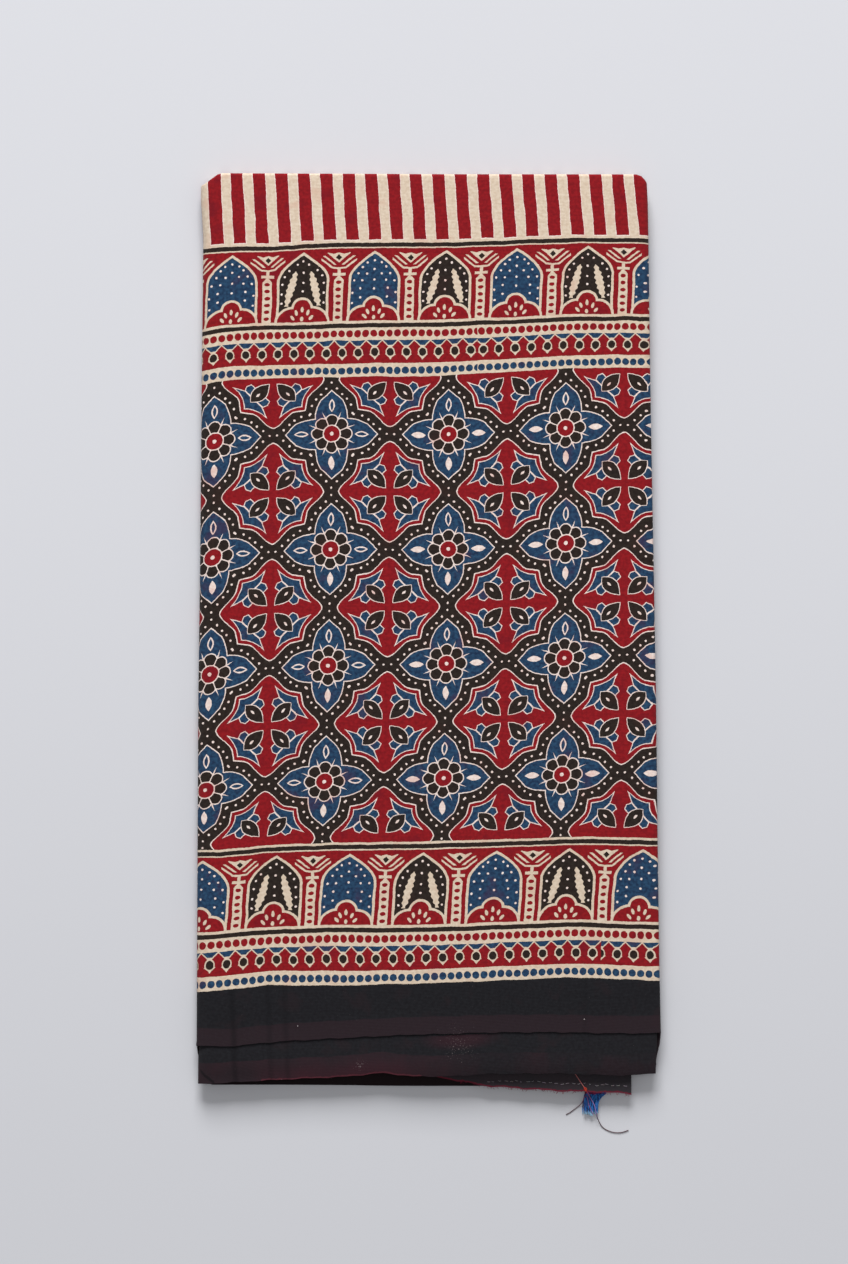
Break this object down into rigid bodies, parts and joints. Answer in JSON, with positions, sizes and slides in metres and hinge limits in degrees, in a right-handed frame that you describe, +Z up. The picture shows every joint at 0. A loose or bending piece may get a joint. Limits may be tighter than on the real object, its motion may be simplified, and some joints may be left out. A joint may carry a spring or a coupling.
{
  "type": "folded ajrakh cloth",
  "caption": "Block-printed cotton cloth folded flat in layers, with a small blue yarn tassel tied to one corner of its end.",
  "frame": {"origin": "on the flat underside, at the middle of the folded cloth's width and length", "axes": "+X to the right across the folds, +Y towards the fold at the top end, +Z up from the surface it lies on; millimetres in the source, metres here"},
  "size_m": [0.2782, 0.5768, 0.016],
  "materials": {
    "printed_cotton": "plain-woven cotton, block printed in madder red, indigo blue, black and undyed cream",
    "blue_yarn": "soft blue tassel yarn, cut at the ends",
    "red_thread": "twisted sewing thread, red to mauve"
  },
  "bodies": {
    "root": {"cloth": "printed_cotton", "tassel": "blue_yarn", "thread_long": "red_thread", "thread_short": "red_thread"}
  },
  "joints": []
}
